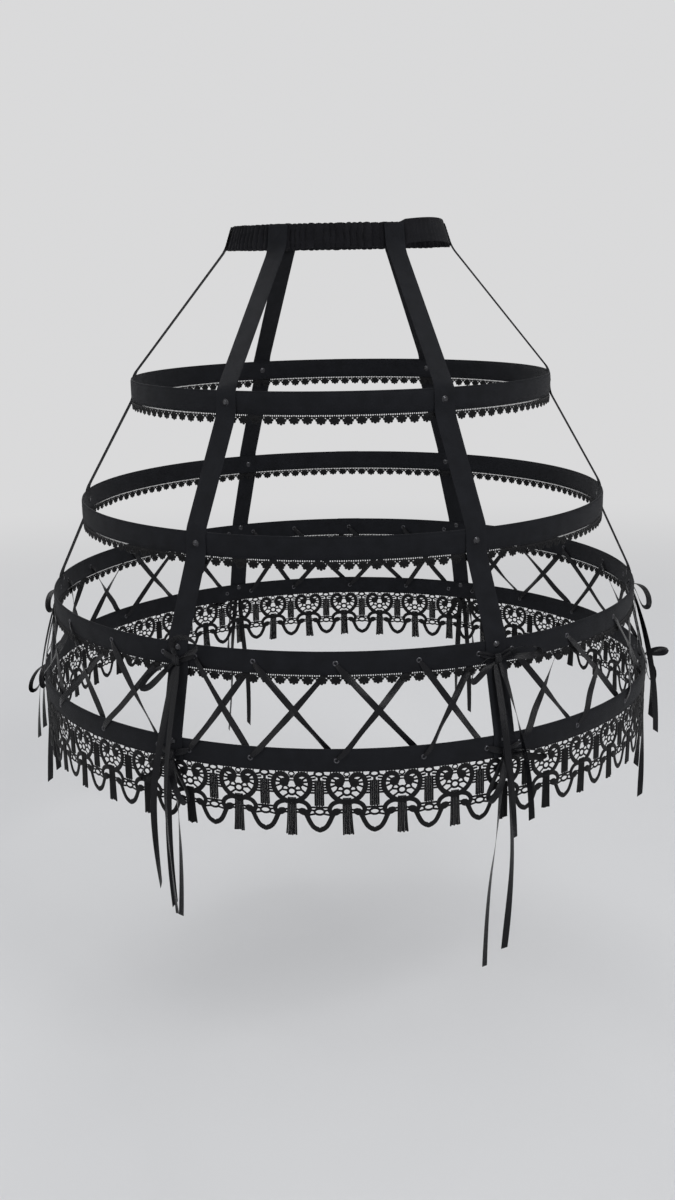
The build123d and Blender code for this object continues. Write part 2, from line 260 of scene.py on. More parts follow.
def piece(name, shape, material, nodes=()):
    """A finished object of the part, in place of the model's nodes."""
    mesh = bpy.data.meshes.new(name)
    mesh.from_pydata(shape.all_points().tolist(), [], shape.faces)
    layer = mesh.uv_layers.new(name="flat")
    layer.data.foreach_set("uv", np.concatenate(shape.flat).ravel())
    work = bmesh.new()
    work.from_mesh(mesh)
    bmesh.ops.recalc_face_normals(work, faces=work.faces)
    work.to_mesh(mesh)
    work.free()
    mesh.polygons.foreach_set("use_smooth", [True] * len(mesh.polygons))
    mesh.set_sharp_from_angle(angle=math.radians(50))
    mesh.materials.append(material)
    made = shown(name, mesh)
    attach(made, "root")
    if nodes:
        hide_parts(*nodes)
    return made


# Materials.
WAVE_SCALE = 0.314  # of a wave texture whose bands are a metre apart
RELIEF = 0.8
PLAIN_SCALE = (1.0, 1.0, 1.0)
WEAVE_SHADE = (0.45, 1.0)
DYE_SCALE = 60.0
CLOTH_DEPTH = 0.25 * MM
CLOTH_SHINE = 0.17
SHEEN_ROUGHNESS = 0.45
# Painted sheen: lengthwise satin streaks that lighten the ribbon's colour.
SHEEN_STREAK_SCALE = (60.0, 2600.0, 1.0)
RIB_PITCH = 0.45 * MM
RIB_WOBBLE = 0.6
SATIN_PATCHES = 45.0
SATIN_SHADE = (0.6, 1.3)
SATIN_DEPTH = 0.08 * MM
SATIN_SHEEN = 0.03
SATIN_SHINE = 0.19
SATIN_DRAW = 0.8
WEAR_SCALE = 420.0
WEAR_DEPTH = 0.05 * MM


def new_material(name):
    """A material and its shader nodes."""
    material = bpy.data.materials.new(name)
    material.use_nodes = True
    return material, material.node_tree


def node(tree, kind, **settings):
    """A shader node with its settings."""
    made = tree.nodes.new(kind)
    for key, value in settings.items():
        setattr(made, key, value)
    return made


def fill(made, **values):
    """Sets a node's inputs, named with _ for a space."""
    for name, value in values.items():
        made.inputs[name.replace("_", " ")].default_value = value


def flat_place(tree, turn, scale):
    """Flat coordinates, turned and scaled."""
    source = node(tree, "ShaderNodeUVMap", uv_map="flat")
    mapping = node(tree, "ShaderNodeMapping")
    fill(mapping, Rotation=(0.0, 0.0, turn), Scale=scale)
    tree.links.new(source.outputs["UV"], mapping.inputs["Vector"])
    return mapping.outputs["Vector"]


def threads(tree, place, pitch, direction, wobble=1.5):
    """Rows of threads at a pitch in metres."""
    wave = node(tree, "ShaderNodeTexWave", bands_direction=direction)
    fill(wave, Scale=WAVE_SCALE / pitch, Distortion=wobble, Detail=2.0)
    tree.links.new(place, wave.inputs["Vector"])
    return wave.outputs["Fac"]


def joined(tree, operation, first, second):
    """Two values joined by one operation."""
    made = node(tree, "ShaderNodeMath", operation=operation)
    tree.links.new(first, made.inputs[0])
    tree.links.new(second, made.inputs[1])
    return made.outputs["Value"]


def spread(tree, value, low, high):
    """A value from 0 to 1, spread over a range."""
    made = node(tree, "ShaderNodeMapRange")
    fill(made, To_Min=low, To_Max=high)
    tree.links.new(value, made.inputs["Value"])
    return made.outputs["Result"]


def patches(tree, scale):
    """Soft patches over the whole object."""
    source = node(tree, "ShaderNodeTexCoord")
    noise = node(tree, "ShaderNodeTexNoise")
    fill(noise, Scale=scale, Detail=5.0)
    tree.links.new(source.outputs["Object"], noise.inputs["Vector"])
    return noise.outputs["Fac"]


def finish(tree, shade, colours, rough, height, depth):
    """Colour, roughness and relief of a surface."""
    surface = tree.nodes["Principled BSDF"]
    mix = node(tree, "ShaderNodeMix", data_type="RGBA")
    mix.inputs[6].default_value = (*colours[0], 1.0)
    mix.inputs[7].default_value = (*colours[1], 1.0)
    bump = node(tree, "ShaderNodeBump")
    fill(bump, Strength=RELIEF, Distance=depth)
    tree.links.new(shade, mix.inputs[0])
    tree.links.new(mix.outputs[2], surface.inputs["Base Color"])
    tree.links.new(spread(tree, shade, *rough), surface.inputs["Roughness"])
    tree.links.new(height, bump.inputs["Height"])
    tree.links.new(bump.outputs["Normal"], surface.inputs["Normal"])
    return surface


def cloth(name, colours, rough, pitch, turn, sheen):
    """Woven thread with little shine: crossing rows of threads with patchy dye."""
    material, tree = new_material(name)
    place = flat_place(tree, turn, PLAIN_SCALE)
    lengthwise = threads(tree, place, pitch[0], "X")
    crosswise = threads(tree, place, pitch[1], "Y")
    weave = joined(tree, "MULTIPLY", lengthwise, crosswise)
    shade = joined(tree, "MULTIPLY", spread(tree, weave, *WEAVE_SHADE), patches(tree, DYE_SCALE))
    surface = finish(tree, shade, colours, rough, weave, CLOTH_DEPTH)
    fill(surface, Sheen_Weight=sheen, Sheen_Roughness=SHEEN_ROUGHNESS, Specular_IOR_Level=CLOTH_SHINE)
    return material


def satin(name, colours, rough):
    """Satin ribbon: fine streaks along its length over a soft shine; the streaks are painted sheen in its
    colour and also vary its roughness and relief.
    """
    material, tree = new_material(name)
    sheen_streaks = node(tree, "ShaderNodeTexNoise")
    fill(sheen_streaks, Scale=1.0, Detail=4.0)
    tree.links.new(flat_place(tree, 0.0, SHEEN_STREAK_SCALE), sheen_streaks.inputs["Vector"])
    ribs = threads(tree, flat_place(tree, 0.0, PLAIN_SCALE), RIB_PITCH, "X", RIB_WOBBLE)
    patchy = spread(tree, patches(tree, SATIN_PATCHES), *SATIN_SHADE)
    # Painted sheen: the streaks lighten the colour along the ribbon, over random soft patches.
    shade = joined(tree, "MULTIPLY", sheen_streaks.outputs["Fac"], patchy)
    relief = joined(tree, "ADD", ribs, sheen_streaks.outputs["Fac"])
    surface = finish(tree, shade, colours, rough, relief, SATIN_DEPTH)
    fill(surface, Sheen_Weight=SATIN_SHEEN, Specular_IOR_Level=SATIN_SHINE, Anisotropic=SATIN_DRAW)
    tangent = node(tree, "ShaderNodeTangent", direction_type="UV_MAP", uv_map="flat")
    tree.links.new(tangent.outputs["Tangent"], surface.inputs["Tangent"])
    return material


def metal(name, colours, rough):
    """Plated metal with fine wear."""
    material, tree = new_material(name)
    wear = patches(tree, WEAR_SCALE)
    surface = finish(tree, wear, colours, rough, wear, WEAR_DEPTH)
    fill(surface, Metallic=1.0)
    return material


TAPE = cloth(
    "black_tape", ((0.0022, 0.0025, 0.0036), (0.0115, 0.0128, 0.018)), (0.85, 0.6),
    (0.9 * MM, 1.1 * MM), math.radians(40), 0.03,
)
COTTON = cloth(
    "gathered_cotton", ((0.002, 0.002, 0.003), (0.015, 0.015, 0.019)), (0.95, 0.75),
    (0.8 * MM, 0.8 * MM), 0.0, 0.04,
)
THREAD = cloth(
    "lace_thread", ((0.0012, 0.0012, 0.0016), (0.0095, 0.0097, 0.0115)), (0.7, 0.42),
    (0.7 * MM, 0.9 * MM), math.radians(25), 0.03,
)
SATIN = satin("black_satin", ((0.001, 0.001, 0.0015), (0.0058, 0.0061, 0.0088)), (0.34, 0.2))
NICKEL = metal("dark_nickel", ((0.025, 0.025, 0.028), (0.09, 0.09, 0.096)), (0.3, 0.16))
GUNMETAL = metal("gunmetal", ((0.032, 0.032, 0.036), (0.115, 0.115, 0.125)), (0.38, 0.22))


# Hoops: a tape casing over the strip, pinched at its sewn edges, lapped at the back.
HOOP_STEPS = 288
STITCH_PITCH = 3.4 * MM
STITCH_LIFT = 0.65 * MM
SEAM_INSET = 1.5 * MM
HALF_LAP = 17 * MM
LAP_LIFT = 0.3 * MM
LAP_THICKNESS = 0.8 * MM
LAP_STEPS = 9


def casing_section():
    """Section of a hoop casing: full in the middle, thin at the seams."""
    aside = np.array([-12.5, -12.1, -10.6, -9.6, -5.0, 0.0, 5.0, 9.6, 10.6, 12.1, 12.5]) * MM
    half = np.array([0.35, 0.6, 0.65, 1.25, 1.3, 1.3, 1.3, 1.25, 0.65, 0.6, 0.35]) * MM
    return two_faced(aside, half)


def casing_reach(hoop):
    """Radius of the middle of a hoop's casing."""
    return RADIUS[hoop] + TAPE_THICKNESS - CASING_THICKNESS / 2


def sweep_hoop(shape, section, reach, height, count, start=0.0, end=2 * math.pi, whole=True):
    """Carries an upright section round a hoop, or along a stretch of it."""
    turns = np.linspace(start, end, count, endpoint=not whole)
    centres = outward(turns) * reach + UP * height
    sweep(shape, section, centres, UP[None], outward(turns), wrap=whole)


def stitch_shape():
    """One stitch along the first axis, a small half-sunken bar."""
    shape = Shape()
    line = np.array([(-1.2, 0.0, 0.0), (1.2, 0.0, 0.0)]) * MM
    sides = np.array([(0.0, 1.0, 0.0)])
    sweep(shape, oval_section(0.7 * MM, 0.5 * MM, 4), line, sides, UP[None])
    return shape


def wrap_points(points, reach, top, turn):
    """Flat points (aside, down, lift) wrapped round a hoop, from a turn on."""
    turns = turn + points[:, 0] / reach
    return outward(turns) * (reach + points[:, 2])[:, None] + UP * (top - points[:, 1])[:, None]


def sew_hoop(shape, hoop):
    """Rows of stitches along both edges of a casing, on both faces."""
    stitch = stitch_shape()
    middle = casing_reach(hoop)
    count = round(2 * math.pi * middle / STITCH_PITCH)
    for face in (1, -1):
        points = stitch.all_points() * (1, 1, face)
        for edge in (1, -1):
            row = HEIGHT[hoop] + edge * (TAPE_WIDTH / 2 - SEAM_INSET)
            for k in range(count):
                turn = 2 * math.pi * k / count
                shape.add(stitch, wrap_points(points, middle + face * STITCH_LIFT, row, turn))


def build_hoop(hoop):
    """One hoop's casing, with the lap of its ends at the back."""
    shape = Shape()
    middle = casing_reach(hoop)
    sweep_hoop(shape, casing_section(), middle, HEIGHT[hoop], HOOP_STEPS)
    half = HALF_LAP / middle
    reach = RADIUS[hoop] + TAPE_THICKNESS + LAP_LIFT
    lap = tape_section(TAPE_WIDTH, LAP_THICKNESS)
    sweep_hoop(shape, lap, reach, HEIGHT[hoop], LAP_STEPS, math.pi - half, math.pi + half, False)
    sew_hoop(shape, hoop)
    nodes = [f"hoop_tape_{hoop}", f"hoop_strip_{hoop}"]
    if hoop == HOOPS[-1]:
        nodes.append("hoop_joiners")
    piece(f"hoop_casing_{hoop}", shape, TAPE, nodes)


for hoop in HOOPS:
    build_hoop(hoop)


# Straps: flat tape over the waistband and the outside of every hoop.
FRONT_LEAN = 2.5 * MM
HIP_LEAN = 9 * MM
STRAP_GAP = 0.1 * MM
STRAP_LIFT = 0.6 * MM
STRAP_STEPS = 180
CORNER_STEPS = 5
BOX_HALF_WIDTH = 10 * MM
WAIST_BOX_HALF_HEIGHT = 10.5 * MM
FOOT_BOX_HALF_HEIGHT = 7.5 * MM
FOOT_BOX_DROP = 3 * MM


def strap_face(hoop):
    """Reach of a strap's outer face where it crosses a hoop."""
    return RADIUS[hoop] + 2 * TAPE_THICKNESS + STRAP_GAP


def band_lean(turns):
    """How far the band's top edge stands inside its foot."""
    return FRONT_LEAN + (HIP_LEAN - FRONT_LEAN) * np.sin(turns) ** 2


def strap_top(name):
    """Turn, reach and sideways shift of a strap where it lies on the waistband."""
    turn = math.radians(STRAP_TURNS[name])
    oval = math.hypot(math.sin(turn) * WAIST_HALF_WIDTH, math.cos(turn) * WAIST_HALF_DEPTH)
    reach = oval + STRAP_LIFT
    aside = 0.0
    if not name.startswith("side"):
        waist_x = math.copysign(STRAP_WAIST_ASIDE, math.sin(turn))
        aside = (waist_x - reach * math.sin(turn)) / math.cos(turn)
    return turn, reach, aside


def softened(line, window):
    """A line with its corners rounded off, its ends kept."""
    before = np.repeat(line[:1], window, axis=0)
    after = np.repeat(line[-1:], window, axis=0)
    padded = np.vstack([before, line, after])
    kernel = np.ones(window) / window
    soft = np.stack([np.convolve(padded[:, axis], kernel, "same") for axis in range(3)], axis=1)
    soft = soft[window:-window]
    kept = window // 2 + 1
    soft[:kept] = line[:kept]
    soft[-kept:] = line[-kept:]
    return soft


def strap_line(name):
    """Points down the middle of a strap."""
    turn, reach, aside = strap_top(name)
    points = [
        spot(turn, reach - band_lean(turn), aside, WAIST_HIGH[2]),
        spot(turn, reach, aside, WAIST_LOW[2]),
    ]
    for hoop in HOOPS:
        over = RADIUS[hoop] + TAPE_THICKNESS + STRAP_LIFT
        for edge in (TAPE_WIDTH / 2, -TAPE_WIDTH / 2):
            points.append(spot(turn, over, 0.0, HEIGHT[hoop] + edge))
    return softened(even(np.array(points), STRAP_STEPS), CORNER_STEPS)


def box_seams(half_width, half_height):
    """Places (aside, up, lean) of the stitches of a sewn box with a cross."""
    corners = [(-half_width, -half_height), (half_width, -half_height), (half_width, half_height)]
    corners += [(-half_width, half_height)]
    rows = list(zip(corners, corners[1:] + corners[:1]))
    rows += [(corners[0], corners[2]), (corners[1], corners[3])]
    seams = []
    for start, end in rows:
        way = np.array(end) - np.array(start)
        count = max(1, round(math.hypot(*way) / STITCH_PITCH))
        for k in range(count):
            place = np.array(start) + way * (k + 0.5) / count
            seams.append((*place, math.atan2(way[1], way[0])))
    return seams


def sew_box(shape, turn, reach, aside, height, half_width, half_height, slope=0.0):
    """A sewn box with a cross on the outer face of a strap, which may lean in towards its top."""
    stitch = stitch_shape()
    x, y, lift = stitch.all_points().T
    for shift, rise, lean in box_seams(half_width, half_height):
        along = x * math.cos(lean) - y * math.sin(lean) + aside + shift
        up = x * math.sin(lean) + y * math.cos(lean) + height + rise
        out = reach + lift - slope * (up - height)
        places = np.outer(out, outward(turn)) + np.outer(along, sideways(turn)) + np.outer(up, UP)
        shape.add(stitch, places)


def build_strap(name):
    """One strap, sewn to the waistband and to the lowest hoop."""
    shape = Shape()
    turn, reach, aside = strap_top(name)
    line = strap_line(name)
    sides, normals = directions(line, outward(turn))
    sweep(shape, tape_section(TAPE_WIDTH, TAPE_THICKNESS, 10), line, sides, normals)
    lean = band_lean(turn)
    face = reach + TAPE_THICKNESS / 2 - lean / 2
    slope = lean / BAND_HEIGHT
    sew_box(shape, turn, face, aside, 0.0, BOX_HALF_WIDTH, WAIST_BOX_HALF_HEIGHT, slope)
    low = HEIGHT[4] - FOOT_BOX_DROP
    sew_box(shape, turn, strap_face(4), 0.0, low, BOX_HALF_WIDTH, FOOT_BOX_HALF_HEIGHT)
    piece(f"strap_tape_{name}", shape, TAPE, [f"strap_{name}"])


for strap in STRAP_TURNS:
    build_strap(strap)


# Waistband: gathered cotton over elastic, with one smooth stretch at the right hip.
FOLD_STEP = (0.045, 0.090)
LAST_STEP = 0.06
FOLD_HEIGHT = (0.55, 1.0)
FOLD_WANDER = 0.014
CREASE_SHARE = 0.12
SMOOTH_FROM, SMOOTH_TO = 34, 90
SMOOTH_FADES = (4, 8)
ARCH_FROM, ARCH_SPAN = 22, 76
ARCH_RISE = 6.0 * MM
BAND_STEPS = 1080
BAND_ROWS = 15
GATHER_DEPTH = 3.4 * MM
GATHER_FRILL = 1.3 * MM
SEAM_ROW = 0.62
SEAM_SPREAD = 0.12
SEAM_DEPTH = 0.5 * MM
BAND_THICKNESS = 2.4 * MM


def fold_marks():
    """Turns of the valleys between the gathers, unevenly spaced round the band."""
    marks = [0.0]
    while marks[-1] < 2 * math.pi - LAST_STEP:
        marks.append(marks[-1] + chance.uniform(*FOLD_STEP))
    return np.array(marks) * 2 * math.pi / marks[-1]


FOLD_MARKS = fold_marks()
FOLD_HEIGHTS = np.array([chance.uniform(*FOLD_HEIGHT) for _ in FOLD_MARKS])


def folds(turns, row):
    """Fold height from 0 in a valley to 1 on a crest, at one level of the band."""
    shifted = turns + FOLD_WANDER * np.sin(2.4 * row + 4.0 * np.sin(5.0 * turns)) * (row + 0.3)
    shifted = np.mod(shifted, 2 * math.pi)
    share = np.interp(shifted, FOLD_MARKS, np.arange(len(FOLD_MARKS)))
    fold = np.minimum(share.astype(int), len(FOLD_MARKS) - 1)
    crest = np.abs(np.sin(share * math.pi)) ** 0.8 * FOLD_HEIGHTS[fold]
    crease = CREASE_SHARE * np.sin(turns * 290 + 3.0 * row) * np.sin(turns * 61 - 5.0 * row)
    return np.clip(crest + crease, 0.0, 1.0)


def smooth_stretch(turns):
    """1 in the smooth stretch of the band, 0 elsewhere."""
    degrees = np.degrees(turns)
    begun = np.clip((degrees - SMOOTH_FROM) / SMOOTH_FADES[0], 0, 1)
    left = np.clip((SMOOTH_TO - degrees) / SMOOTH_FADES[1], 0, 1)
    return begun * left


def waist_points(turns, inset, height):
    """Points of the waist oval, set in from its outer face."""
    x = (WAIST_HALF_WIDTH - inset) * np.sin(turns)
    y = -(WAIST_HALF_DEPTH - inset) * np.cos(turns)
    return np.stack([x, y, height], axis=1)


def build_waistband():
    """The band as one closed ring of cloth."""
    shape = Shape()
    turns = np.linspace(0, 2 * math.pi, BAND_STEPS, endpoint=False)
    flat = smooth_stretch(turns)
    bent = np.clip((np.degrees(turns) - ARCH_FROM) / ARCH_SPAN, 0, 1)
    arch = ARCH_RISE * flat * np.sin(bent * math.pi)
    rows = np.linspace(-1, 1, BAND_ROWS)
    outer, inner = [], []
    for row in rows:
        fold = folds(turns, row)
        sewn = math.exp(-(((abs(row) - SEAM_ROW) / SEAM_SPREAD) ** 2))
        depth = GATHER_DEPTH * (1 - 0.88 * flat) * (1 - 0.45 * sewn)
        inset = depth * (1 - fold) + SEAM_DEPTH * sewn + band_lean(turns) * (row + 1) / 2
        frill = GATHER_FRILL * (fold - 0.5) * (1 - flat) * row**4
        height = row * BAND_HEIGHT / 2 + np.sign(row) * frill + arch
        outer.append(waist_points(turns, inset, height))
        inner.append(waist_points(turns, inset + BAND_THICKNESS, height))
    points = np.stack(outer + inner[::-1], axis=1)
    along = np.linspace(0, 2 * math.pi, len(turns) + 1) * WAIST_HALF_WIDTH
    heights = np.concatenate([rows, rows[::-1], rows[:1]]) * BAND_HEIGHT / 2
    shape.grid(points, along, heights, True, True)
    piece("waistband_cloth", shape, COTTON, ["waistband"])


build_waistband()


# Rivets and eyelets.
RIVET_PROFILE = MM * np.array([
    (0.4, -0.4), (3.7, -0.4), (3.8, 0.1), (3.5, 0.4), (3.2, 0.45),
    (2.9, 0.9), (2.2, 1.4), (1.4, 1.6), (0.8, 1.52), (0.3, 1.4),
])
BURR_PROFILE = MM * np.array([(0.4, -0.3), (3.5, -0.3), (3.6, 0.1), (3.1, 0.5), (1.7, 0.75), (0.3, 0.8)])
EYELET_PROFILE = MM * np.array([
    (1.4, -0.8), (2.8, -0.6), (3.0, 0.0), (2.6, 0.4), (2.1, 0.5), (1.7, 0.3), (1.4, -0.3),
])
RIVET_RAISED = 7.8 * MM


def build_rivets():
    """A dome outside and a flat cap inside at every crossing."""
    shape = Shape()
    for turn in map(math.radians, STRAP_TURNS.values()):
        out, side = outward(turn), sideways(turn)
        for hoop in HOOPS:
            height = HEIGHT[hoop] + (RIVET_RAISED if hoop in LACED_HOOPS else 0.0)
            back = RADIUS[hoop] + TAPE_THICKNESS - CASING_THICKNESS
            lathe(shape, RIVET_PROFILE, out * strap_face(hoop) + UP * height, out, side, 24)
            lathe(shape, BURR_PROFILE, out * back + UP * height, -out, side, 20)
    piece("rivet_caps", shape, NICKEL, ["rivets"])


def eyelet_turns(panel, hoop):
    """Turns of the five eyelets of one panel on one hoop."""
    start, end = (math.radians(turn) for turn in PANELS[panel])
    inset = EYELET_FROM_STRAP / RADIUS[hoop]
    step = (end - start) / 2 * INNER_EYELET_SHARE
    middle = (start + end) / 2
    return [start + inset, middle - step, middle, middle + step, end - inset]


def build_eyelets():
    """Small rolled rings on both faces of the laced hoops."""
    shape = Shape()
    for hoop in LACED_HOOPS:
        for panel in PANELS:
            for turn in eyelet_turns(panel, hoop):
                out, side = outward(turn), sideways(turn)
                face = RADIUS[hoop] + TAPE_THICKNESS
                lathe(shape, EYELET_PROFILE, out * face + UP * HEIGHT[hoop], out, side, 16)
                back = face - CASING_THICKNESS
                lathe(shape, EYELET_PROFILE, out * back + UP * HEIGHT[hoop], -out, side, 16)
    piece("eyelets", shape, GUNMETAL)


build_rivets()
build_eyelets()


# Lacing: satin runs from eyelet to eyelet, in front of one hoop and behind the next.
RUN_FRONT = 2.1 * MM
RUN_BACK = -6.0 * MM
RUN_STEPS = 46


def ribbon(shape, line, hints, rolls=None, widths=None, curl=0.0, slant=0.0):
    """A satin strip along a line."""
    sides, normals = directions(line, hints, rolls)
    section = tape_section(RIBBON_WIDTH, RIBBON_THICKNESS, 4, 0.5, curl)
    sweep(shape, section, line, sides, normals, widths=widths, slant=slant)


def run_points(down, here, there):
    """Corner points (turn, reach, height) of one run between the third and the fourth hoop."""
    start, end = LACED_HOOPS if down else LACED_HOOPS[::-1]
    lift = -1 if down else 1
    near = 0.12 if down else 0.3
    first, last = HEIGHT[start], HEIGHT[end]
    face = RADIUS[start] + RUN_FRONT
    points = [(0.0, RADIUS[start] - 0.3 * MM, first), (0.03, face, first + lift * 3 * MM)]
    if not down:
        points.append((0.13, face, first + lift * 12.5 * MM))
    gap = (RADIUS[end] + RUN_BACK) - face
    for share in (near, 0.5, 0.8):
        points.append((share, face + gap * share, first + (last - first) * share))
    points.append((0.95, RADIUS[end] - 5.2 * MM, last - lift * 5 * MM))
    points.append((1.0, RADIUS[end] - 1.8 * MM, last))
    return [(here + (there - here) * share, reach, height) for share, reach, height in points]


def build_run(shape, down, here, there):
    """One run, narrowed where it enters its eyelets, with a slight twist."""
    corners = run_points(down, here, there)
    line = through([outward(turn) * reach + UP * height for turn, reach, height in corners], RUN_STEPS)
    share = np.linspace(0, 1, len(line))
    hints = outward(here + (there - here) * share)
    rolls = math.radians(chance.uniform(-38, 38)) * np.sin(2 * math.pi * share)
    ends = np.minimum(share, 1 - share) / 0.11
    widths = 0.42 + 0.58 * np.clip(ends, 0, 1) ** 0.7
    ribbon(shape, line, hints, rolls, widths, chance.uniform(-0.3, 0.3) * MM)


def build_lacing(panel, strand):
    """One strand: four runs, going down and up by turns."""
    shape = Shape()
    for k in range(4):
        down = (k % 2 == 0) == (strand == "a")
        start, end = LACED_HOOPS if down else LACED_HOOPS[::-1]
        build_run(shape, down, eyelet_turns(panel, start)[k], eyelet_turns(panel, end)[k + 1])
    piece(f"lacing_ribbon_{panel}_{strand}", shape, SATIN, [f"lacing_{panel}_{strand}"])


for panel_name in PANELS:
    for strand_name in "ab":
        build_lacing(panel_name, strand_name)


# Bows: two legs from the nearest eyelets, a wrapped knot and two hanging loops.
KNOT_DROP = 6 * MM
KNOT_LIFT = 5.3 * MM
KNOT_DEPTH = 2.7 * MM
KNOT_HEIGHT = 5.2 * MM
KNOT_HALF_WIDTH = 4.4 * MM
KNOT_STEPS = 28
LOOP_LIFT = 4.5 * MM
LOOP_STEPS = 48
LEG_STEPS = 22
LEG_CURL = 0.4 * MM
# Points of a leg (aside, out, up) and of a loop (away, up), in millimetres.
LEG_LINE = [(20, -0.3, 0), (17, 2.2, -0.4), (12.5, 3.2, -1.8), (6, 3.6, -4.2), (1.5, 4.6, -6)]
LOOP_LINE = [(3, 0.5), (13, 7.0), (26, 9.0), (39, 3.0), (48, -8.0), (49, -17.0)]
LOOP_LINE += [(43, -22.0), (33, -18.0), (18, -8.5), (3, -1.5)]
# Each loop: side, size share and opening share; then droop, turn away from straight out, lean of the
# ribbon and tilt of the loop towards the front, in degrees.
LOOP_LOOKS = {
    ("front_left", 3): ((-1, 1.04, 0.36, 33, 72, 68, 12), (1, 0.66, 1.70, -72, 72, 68, 6)),
    ("front_right", 3): ((-1, 0.84, 0.74, 8, 70, 66, 12), (1, 0.92, 0.60, -16, 70, 48, 24)),
    ("front_left", 4): ((-1, 0.84, 0.70, 30, 60, 40, 30), (1, 1.10, 0.55, 66, 56, 20, 60)),
    ("front_right", 4): ((-1, 1.10, 0.55, 62, 58, 20, 60), (1, 0.85, 0.60, 0, 66, 45, 35)),
    ("side_left", 3): ((-1, 0.86, 0.60, 30, 72, 40, 20), (1, 0.80, 0.65, 20, 74, 40, 20)),
    ("side_left", 4): ((-1, 1.10, 0.45, 46, 14, 28, 4), (1, 0.80, 0.60, 30, 76, 40, 20)),
    ("side_right", 3): ((-1, 0.84, 0.70, 24, 58, 40, 20), (1, 0.84, 0.65, 44, 10, 22, 2)),
    ("side_right", 4): ((-1, 0.62, 0.40, -22, 14, 70, 8), (1, 0.76, 0.60, 54, 12, 12, 2)),
}
# Ranges for the other loops, from size to tilt.
LOOP_RANGES = ((0.84, 1.06), (0.6, 0.95), (-16, 34), (52, 70), (20, 48), (15, 55))


def loop_looks(name, hoop):
    """How the two loops of one bow hang."""
    if (name, hoop) in LOOP_LOOKS:
        return LOOP_LOOKS[(name, hoop)]
    return [(sign, *(chance.uniform(low, high) for low, high in LOOP_RANGES)) for sign in (-1, 1)]


def build_legs(shape, turn, hoop):
    """Ribbon from the eyelet on each side of the strap to the knot."""
    reach, level = RADIUS[hoop], HEIGHT[hoop]
    widths = 0.45 + 0.5 * np.sin(np.linspace(0, math.pi, LEG_STEPS)) ** 0.6
    for sign in (-1, 1):
        points = []
        for aside, out, up in LEG_LINE:
            points.append(spot(turn, reach + out * MM, sign * aside * MM, level + up * MM))
        ribbon(shape, through(points, LEG_STEPS), outward(turn), widths=widths, curl=LEG_CURL)


def build_knot(shape, turn, hoop):
    """A band of ribbon wrapped round the loops, drawn in and creased."""
    centre = spot(turn, RADIUS[hoop] + KNOT_LIFT, 0.0, HEIGHT[hoop] - KNOT_DROP)
    out, side = outward(turn), sideways(turn)
    share = np.linspace(-1, 1, 13)
    across = share * KNOT_HALF_WIDTH
    rows = []
    for around in np.linspace(0, 2 * math.pi, KNOT_STEPS, endpoint=False):
        crease = 1 + 0.10 * np.cos(share * 9 + 1.5 * math.sin(around)) - 0.22 * np.abs(share) ** 3
        depth = KNOT_DEPTH * math.cos(around) * crease
        height = KNOT_HEIGHT * math.sin(around) * crease
        rows.append(centre + np.outer(depth, out) + np.outer(height, UP) + np.outer(across, side))
    along = np.linspace(0, KNOT_STEPS * MM, KNOT_STEPS + 1)
    index = shape.grid(np.stack(rows), along, across, wrap_along=True)
    shape.cap(index[:-1, 0])
    shape.cap(index[:-1, -1])


def build_loop(shape, turn, hoop, look):
    """One loop of ribbon, drooping out and aside from the knot."""
    sign, size, opening, *angles = look
    droop, aim, lean, tilt = map(math.radians, angles)
    aside, out = math.sin(aim) * sign, math.cos(aim)
    level = outward(turn) * out + sideways(turn) * aside
    facing = outward(turn) * abs(aside) - sideways(turn) * out * sign
    away = level * math.cos(droop) - UP * math.sin(droop)
    upright = UP * math.cos(droop) + level * math.sin(droop)
    rise = upright * math.cos(tilt) + facing * math.sin(tilt)
    across = upright * math.sin(tilt) - facing * math.cos(tilt)
    knot = spot(turn, RADIUS[hoop] + LOOP_LIFT, 0.0, HEIGHT[hoop] - KNOT_DROP)
    points = [knot + (away * x + rise * y * opening) * size * MM for x, y in LOOP_LINE]
    line = through(points, LOOP_STEPS)
    hints = np.cross(unit(np.gradient(line, axis=0)), across)
    share = np.linspace(0, 1, len(line))
    rolls = lean * np.sin(math.pi * share) ** 0.7 * sign
    widths = 0.5 + 0.5 * np.clip(np.minimum(share, 1 - share) / 0.16, 0, 1)
    ribbon(shape, line, hints, rolls, widths, chance.uniform(-0.4, 0.4) * MM)


def build_bows(name):
    """The upper and the lower bow of one strap."""
    shape = Shape()
    turn = math.radians(STRAP_TURNS[name])
    for hoop in LACED_HOOPS:
        build_legs(shape, turn, hoop)
        build_knot(shape, turn, hoop)
        for look in loop_looks(name, hoop):
            build_loop(shape, turn, hoop, look)
    piece(f"bow_ribbons_{name}", shape, SATIN, [f"bows_{name}"])


for strap in STRAP_TURNS:
    build_bows(strap)


